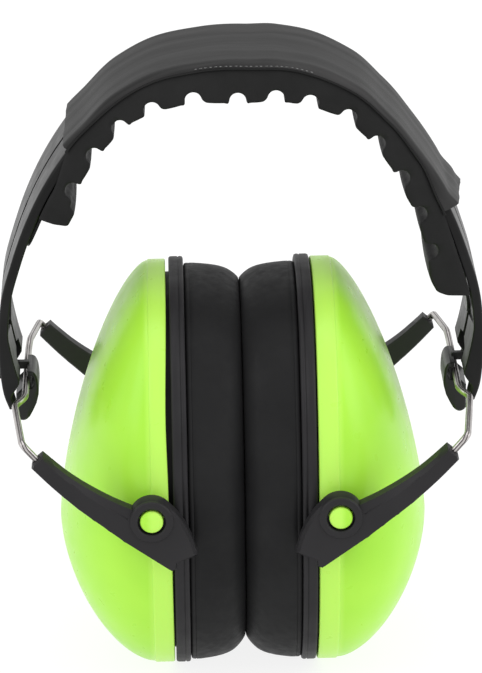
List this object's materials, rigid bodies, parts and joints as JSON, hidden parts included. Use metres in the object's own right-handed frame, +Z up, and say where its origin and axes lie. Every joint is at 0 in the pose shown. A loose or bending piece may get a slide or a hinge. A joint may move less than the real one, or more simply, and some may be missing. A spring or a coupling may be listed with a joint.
{
  "type": "earmuff hearing protector",
  "caption": "Folding over-head hearing protector: domed ear cups on pivoting yoke arms, steel wire bails, an arched plastic band and a scalloped head pad.",
  "frame": {"origin": "the middle of the object's footprint, on the surface it stands on, midway between the two ear cups", "axes": "+Z up through the crown of the band, +X to the viewer's right (towards the right cup), -Y towards the front"},
  "size_m": [0.106, 0.0848, 0.1393],
  "materials": {
    "band_plastic": "moulded black plastic, satin to gloss",
    "pad_skin": "soft matt leatherette over foam",
    "cover_leatherette": "smooth satin leatherette",
    "clip_plastic": "moulded black plastic, satin",
    "steel_wire": "bright nickel-plated spring wire",
    "arm_plastic": "moulded black plastic, fine satin",
    "lime_plastic": "glossy lime green moulding",
    "rim_plastic": "moulded black plastic, satin",
    "liner_foam": "open-cell acoustic foam",
    "liner_cloth": "thin woven cloth",
    "cushion_skin": "smooth soft sealing-ring skin"
  },
  "bodies": {
    "headband": {"headband_frame": "band_plastic", "head_pad_base": "band_plastic", "head_pad_cushion": "pad_skin", "head_pad_cover": "cover_leatherette"},
    "slider_left": {"wire_clip_left": "clip_plastic"},
    "bail_left": {"wire_bail_left": "steel_wire", "yoke_arm_front_left": "arm_plastic", "yoke_arm_back_left": "arm_plastic"},
    "cup_left": {"cup_shell_left": "lime_plastic", "cup_rim_plate_left": "rim_plastic", "sound_liner_left": "liner_foam", "liner_cover_left": "liner_cloth", "cushion_backing_plate_left": "rim_plastic", "ear_cushion_left": "cushion_skin"},
    "slider_right": {"wire_clip_right": "clip_plastic"},
    "bail_right": {"wire_bail_right": "steel_wire", "yoke_arm_front_right": "arm_plastic", "yoke_arm_back_right": "arm_plastic"},
    "cup_right": {"cup_shell_right": "lime_plastic", "cup_rim_plate_right": "rim_plastic", "sound_liner_right": "liner_foam", "liner_cover_right": "liner_cloth", "cushion_backing_plate_right": "rim_plastic", "ear_cushion_right": "cushion_skin"}
  },
  "joints": [
    {"name": "size_slide_left", "type": "slide", "parent": "headband", "child": "slider_left", "axis": [0, 0, 1], "range_m": [0, 0.007]},
    {"name": "bail_fold_left", "type": "hinge", "parent": "slider_left", "child": "bail_left", "pos_m": [-0.0466, 0, 0.0652], "axis": [0, -1, 0], "range_deg": [-25, 56], "deforming": ["ear_cushion_left"]},
    {"name": "cup_level_left", "type": "hinge", "parent": "bail_left", "child": "cup_left", "pos_m": [-0.0199, 0, 0.0472], "axis": [0, 1, 0], "range_deg": [-26, 57]},
    {"name": "size_slide_right", "type": "slide", "parent": "headband", "child": "slider_right", "axis": [0, 0, 1], "range_m": [0, 0.007]},
    {"name": "bail_fold_right", "type": "hinge", "parent": "slider_right", "child": "bail_right", "pos_m": [0.0466, 0, 0.0652], "axis": [0, 1, 0], "range_deg": [-25, 56], "deforming": ["ear_cushion_right"]},
    {"name": "cup_level_right", "type": "hinge", "parent": "bail_right", "child": "cup_right", "pos_m": [0.0199, 0, 0.0472], "axis": [0, -1, 0], "range_deg": [-26, 57]}
  ],
  "couplings": [
    {"joint": "cup_level_left", "follows": "bail_fold_left", "ratio": 1},
    {"joint": "cup_level_right", "follows": "bail_fold_right", "ratio": 1}
  ]
}
